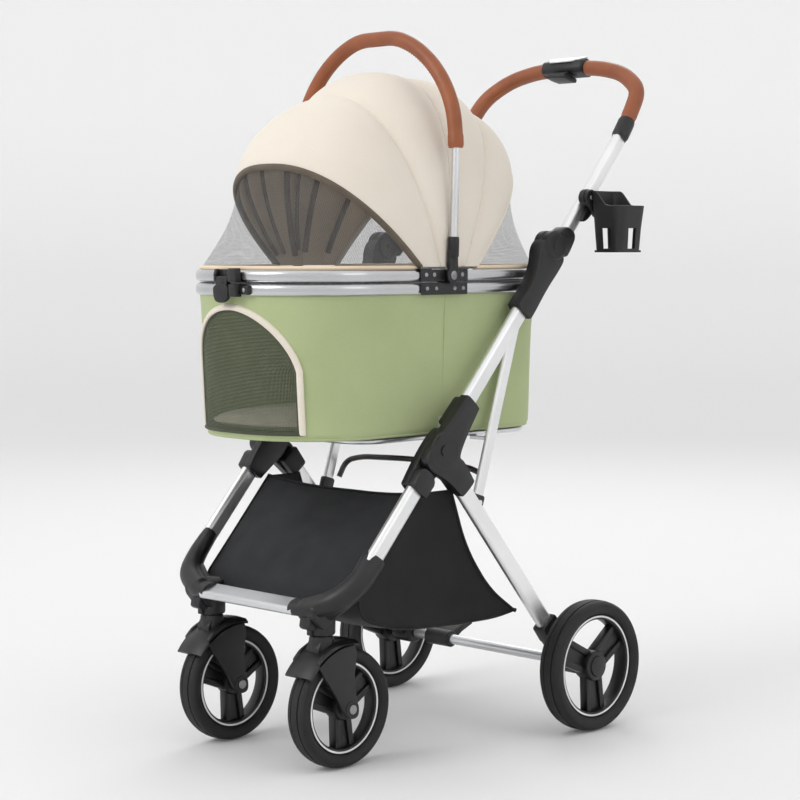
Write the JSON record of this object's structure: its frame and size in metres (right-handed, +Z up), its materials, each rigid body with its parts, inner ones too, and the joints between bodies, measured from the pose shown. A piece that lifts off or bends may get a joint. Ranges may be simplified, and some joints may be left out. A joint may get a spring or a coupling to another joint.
{
  "type": "pet stroller",
  "caption": "Folding four-wheel pet stroller with a lift-off soft carrier, hinged hood lids, carrying handle, cup holder, swivelling front wheels and a storage basket.",
  "frame": {"origin": "on the ground in the plane of symmetry, midway between the front and rear wheel contacts", "axes": "+Z up, +X to the pusher's left, -Y forward"},
  "size_m": [0.5101, 0.7656, 1.0702],
  "materials": {
    "anodised_tube": "satin anodised",
    "black_moulding": "fine moulded texture",
    "rail_aluminium": "brushed",
    "steel_pin": "turned",
    "tyre_rubber": "matte",
    "wheel_plastic": "moulded",
    "tub_fabric": "sage green coated canvas",
    "canopy_fabric": "cream canvas",
    "mesh_fabric": "open mesh",
    "hoop_binding": "woven binding tape",
    "tan_leather": "stitched leatherette",
    "cushion_fabric": "linen weave",
    "basket_fabric": "coated nylon",
    "bow_steel": "wire",
    "bar_bronze": "dark powder coat"
  },
  "bodies": {
    "frame": {"main_tubes": "anodised_tube", "rear_legs": "anodised_tube", "hip_housings": "black_moulding", "fold_pins": "steel_pin", "lower_fold_joints": "black_moulding", "struts": "anodised_tube", "rear_brackets": "black_moulding", "rear_axle": "steel_pin", "cradle": "anodised_tube", "cross_bar": "bar_bronze", "basket": "basket_fabric"},
    "front_legs": {"front_tubes": "anodised_tube", "front_castings": "black_moulding", "footbar": "anodised_tube"},
    "handle": {"handle_tube": "anodised_tube", "handle_sleeves": "black_moulding", "handle_grips": "tan_leather", "handle_cap": "black_moulding", "upper_fold_joints": "black_moulding", "cup_clamp": "black_moulding"},
    "trigger": {"fold_trigger": "black_moulding"},
    "cup": {"cup_holder": "black_moulding"},
    "brake_pedal": {"brake_pedal": "black_moulding"},
    "brake_pin_left": {"brake_pin_left": "steel_pin"},
    "brake_pin_right": {"brake_pin_right": "steel_pin"},
    "carrier": {"lower_rail": "rail_aluminium", "tub": "tub_fabric", "cushion": "cushion_fabric", "side_hinges": "black_moulding", "middle_bow": "bow_steel"},
    "door": {"door_flap": "mesh_fabric"},
    "front_lid": {"front_upper_rail": "rail_aluminium", "front_lid_fittings": "black_moulding", "front_hoop": "hoop_binding", "front_mesh": "mesh_fabric", "front_canopy": "canopy_fabric"},
    "rear_lid": {"rear_upper_rail": "rail_aluminium", "rear_lid_fittings": "black_moulding", "rear_hoop": "hoop_binding", "rear_mesh": "mesh_fabric", "rear_canopy": "canopy_fabric"},
    "front_bow": {"front_bow": "bow_steel"},
    "rear_bow": {"rear_bow": "bow_steel"},
    "front_latch": {"front_latch_lever": "black_moulding"},
    "rear_latch": {"rear_latch_lever": "black_moulding"},
    "carry_handle": {"carry_tube": "anodised_tube", "carry_grip": "tan_leather", "carry_connectors": "black_moulding"},
    "caster_left": {"caster_fork_left": "black_moulding"},
    "caster_lock_left": {"caster_lock_left": "black_moulding"},
    "front_wheel_left": {"front_tyre_left": "tyre_rubber", "front_rim_left": "wheel_plastic"},
    "rear_wheel_left": {"rear_tyre_left": "tyre_rubber", "rear_rim_left": "wheel_plastic"},
    "caster_right": {"caster_fork_right": "black_moulding"},
    "caster_lock_right": {"caster_lock_right": "black_moulding"},
    "front_wheel_right": {"front_tyre_right": "tyre_rubber", "front_rim_right": "wheel_plastic"},
    "rear_wheel_right": {"rear_tyre_right": "tyre_rubber", "rear_rim_right": "wheel_plastic"}
  },
  "joints": [
    {"name": "handle_fold", "type": "hinge", "parent": "frame", "child": "handle", "pos_m": [0, 0.16485, 0.748], "axis": [1, 0, 0], "range_deg": [0, 55]},
    {"name": "leg_fold", "type": "hinge", "parent": "frame", "child": "front_legs", "pos_m": [0, -0.077, 0.452], "axis": [1, 0, 0], "range_deg": [0, 30], "deforming": ["basket"]},
    {"name": "trigger_squeeze", "type": "slide", "parent": "handle", "child": "trigger", "axis": [0, 0.2334, 0.9724], "range_m": [0, 0.0045], "stiffness_N_per_m": 400, "springref_m": -0.001},
    {"name": "cup_tilt", "type": "hinge", "parent": "handle", "child": "cup", "pos_m": [0.199, 0.236, 0.822], "axis": [1, 0, 0], "range_deg": [-18, 18]},
    {"name": "brake_press", "type": "hinge", "parent": "frame", "child": "brake_pedal", "pos_m": [-0.1, 0.218, 0.101], "axis": [-1, 0, 0], "range_deg": [0, 18]},
    {"name": "brake_pin_left_slide", "type": "slide", "parent": "frame", "child": "brake_pin_left", "axis": [1, 0, 0], "range_m": [0, 0.005]},
    {"name": "brake_pin_right_slide", "type": "slide", "parent": "frame", "child": "brake_pin_right", "axis": [-1, 0, 0], "range_m": [0, 0.005]},
    {"name": "carrier_lift", "type": "slide", "parent": "frame", "child": "carrier", "axis": [0, 0, 1], "range_m": [0, 0.05]},
    {"name": "carry_handle_swing", "type": "hinge", "parent": "carrier", "child": "carry_handle", "pos_m": [0, -0.034, 0.705], "axis": [1, 0, 0], "range_deg": [-55, 55]},
    {"name": "front_lid_open", "type": "hinge", "parent": "carrier", "child": "front_lid", "pos_m": [0, -0.034, 0.705], "axis": [-1, 0, 0], "range_deg": [0, 35], "deforming": ["front_canopy"]},
    {"name": "rear_lid_open", "type": "hinge", "parent": "carrier", "child": "rear_lid", "pos_m": [0, -0.034, 0.705], "axis": [1, 0, 0], "range_deg": [0, 25], "deforming": ["rear_canopy"]},
    {"name": "front_bow_follow", "type": "hinge", "parent": "carrier", "child": "front_bow", "pos_m": [0, -0.034, 0.705], "axis": [-1, 0, 0], "range_deg": [0, 16]},
    {"name": "rear_bow_follow", "type": "hinge", "parent": "carrier", "child": "rear_bow", "pos_m": [0, -0.034, 0.705], "axis": [1, 0, 0], "range_deg": [0, 12]},
    {"name": "front_latch_flip", "type": "hinge", "parent": "front_lid", "child": "front_latch", "pos_m": [0, -0.328, 0.701], "axis": [-1, 0, 0], "range_deg": [0, 90]},
    {"name": "rear_latch_flip", "type": "hinge", "parent": "rear_lid", "child": "rear_latch", "pos_m": [0, 0.22, 0.701], "axis": [1, 0, 0], "range_deg": [0, 90]},
    {"name": "door_open", "type": "hinge", "parent": "carrier", "child": "door", "pos_m": [0, -0.308, 0.481], "axis": [1, 0, 0], "range_deg": [0, 85]},
    {"name": "caster_swivel_left", "type": "hinge", "parent": "front_legs", "child": "caster_left", "pos_m": [0.122, -0.252, 0.197], "axis": [0, 0, 1], "continuous": true},
    {"name": "caster_lock_lift_left", "type": "slide", "parent": "front_legs", "child": "caster_lock_left", "axis": [0, 0, 1], "range_m": [0, 0.004]},
    {"name": "front_wheel_spin_left", "type": "hinge", "parent": "caster_left", "child": "front_wheel_left", "pos_m": [0.122, -0.218, 0.0875], "axis": [1, 0, 0], "continuous": true},
    {"name": "rear_wheel_spin_left", "type": "hinge", "parent": "frame", "child": "rear_wheel_left", "pos_m": [0.2235, 0.218, 0.101], "axis": [1, 0, 0], "continuous": true},
    {"name": "caster_swivel_right", "type": "hinge", "parent": "front_legs", "child": "caster_right", "pos_m": [-0.122, -0.252, 0.197], "axis": [0, 0, 1], "continuous": true},
    {"name": "caster_lock_lift_right", "type": "slide", "parent": "front_legs", "child": "caster_lock_right", "axis": [0, 0, 1], "range_m": [0, 0.004]},
    {"name": "front_wheel_spin_right", "type": "hinge", "parent": "caster_right", "child": "front_wheel_right", "pos_m": [-0.122, -0.218, 0.0875], "axis": [1, 0, 0], "continuous": true},
    {"name": "rear_wheel_spin_right", "type": "hinge", "parent": "frame", "child": "rear_wheel_right", "pos_m": [-0.2235, 0.218, 0.101], "axis": [1, 0, 0], "continuous": true}
  ],
  "couplings": [
    {"joint": "leg_fold", "follows": "handle_fold", "ratio": 0.54546},
    {"joint": "brake_pin_left_slide", "follows": "brake_press", "m_per_rad": 0.015756},
    {"joint": "brake_pin_right_slide", "follows": "brake_press", "m_per_rad": 0.015756},
    {"joint": "front_bow_follow", "follows": "front_lid_open", "ratio": 0.444},
    {"joint": "rear_bow_follow", "follows": "rear_lid_open", "ratio": 0.47}
  ]
}
